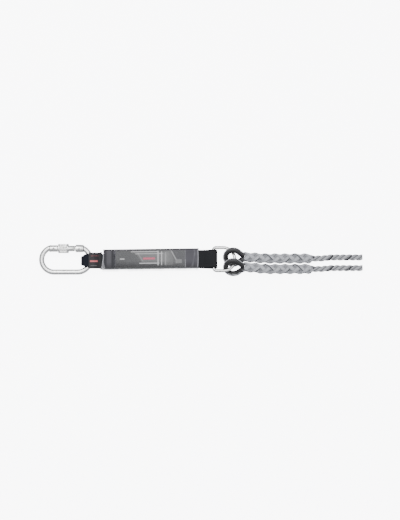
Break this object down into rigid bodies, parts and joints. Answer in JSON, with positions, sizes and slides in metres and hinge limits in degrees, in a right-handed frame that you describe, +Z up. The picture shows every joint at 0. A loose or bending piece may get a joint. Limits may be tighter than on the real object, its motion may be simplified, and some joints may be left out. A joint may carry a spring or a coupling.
{
  "type": "twin shock-absorbing lanyard",
  "caption": "Energy-absorbing safety lanyard: screw-gate oval carabiner, folded tear-webbing pack under clear film, D ring and a pair of spliced rope legs with thimbles.",
  "frame": {"origin": "Middle of the base of the lanyard lying flat, measured without the two free rope tails.", "axes": "+X from the carabiner to the rope ends, +Y across the pack towards the carabiner's gate side, +Z up from the ground it lies on."},
  "size_m": [0.6193, 0.062, 0.0311],
  "materials": {
    "steel": "bright zinc-plated steel, softly polished",
    "spring_steel": "drawn spring wire",
    "navy_webbing": "dark navy polyester webbing, matt weave",
    "wear_wrap": "black coated wrap with a plain salmon mark",
    "tear_webbing": "dark purple-grey tear-out webbing",
    "label_card": "grey label sheet with empty frames",
    "clear_film": "clear shrink film, slightly smoky and glossy",
    "black_webbing": "black polyester webbing, matt weave",
    "black_plastic": "black moulded nylon, satin",
    "grey_rope": "grey three-strand polyamide rope with a black tracer"
  },
  "bodies": {
    "pack": {"pack_film": "clear_film", "pack_label": "label_card", "tear_webbing_upper": "tear_webbing", "tear_webbing_lower": "tear_webbing", "carabiner_loop": "navy_webbing", "loop_wrap": "wear_wrap", "ring_loop": "black_webbing"},
    "carabiner": {"carabiner_body": "steel", "gate_hinge_rivet": "steel", "gate_latch_pin": "steel"},
    "gate": {"carabiner_gate": "steel", "gate_spring": "spring_steel"},
    "plunger": {"gate_plunger": "steel"},
    "sleeve": {"lock_sleeve": "steel"},
    "ring": {"d_ring": "steel"},
    "leg_a": {"thimble_a": "black_plastic", "rope_eye_a": "grey_rope", "splice_a": "grey_rope", "rope_tail_a": "grey_rope"},
    "leg_b": {"thimble_b": "black_plastic", "rope_eye_b": "grey_rope", "splice_b": "grey_rope", "rope_tail_b": "grey_rope"}
  },
  "joints": [
    {"name": "carabiner_swing", "type": "hinge", "parent": "pack", "child": "carabiner", "pos_m": [-0.16415, 0.00086, 0.01186], "axis": [0, 1, 0], "range_deg": [-50, 50]},
    {"name": "gate_hinge", "type": "hinge", "parent": "carabiner", "child": "gate", "pos_m": [-0.18315, 0.02216, 0.01186], "axis": [0, 0, 1], "range_deg": [0, 24], "stiffness_Nm_per_rad": 0.6, "springref_deg": -20.05},
    {"name": "plunger_slide", "type": "slide", "parent": "gate", "child": "plunger", "axis": [-1, 0, 0], "range_m": [0, 0.0013], "deforming": ["gate_spring"]},
    {"name": "sleeve_slide", "type": "slide", "parent": "gate", "child": "sleeve", "axis": [1, 0, 0], "range_m": [-0.014, 0]},
    {"name": "ring_swing", "type": "hinge", "parent": "pack", "child": "ring", "pos_m": [0.07365, 0.00186, 0.0163], "axis": [0.0221, -0.9361, 0.3511], "range_deg": [-75, 75]},
    {"name": "leg_a_swing", "type": "hinge", "parent": "ring", "child": "leg_a", "pos_m": [0.11125, 0.00566, 0.0121], "axis": [-0.0193, -0.3891, 0.921], "range_deg": [0, 18]},
    {"name": "leg_b_swing", "type": "hinge", "parent": "ring", "child": "leg_b", "pos_m": [0.11125, -0.01354, 0.0168], "axis": [-0.0402, -0.5455, 0.8372], "range_deg": [-18, 0]}
  ],
  "couplings": [
    {"joint": "plunger_slide", "follows": "gate_hinge", "m_per_rad": 0.003}
  ]
}
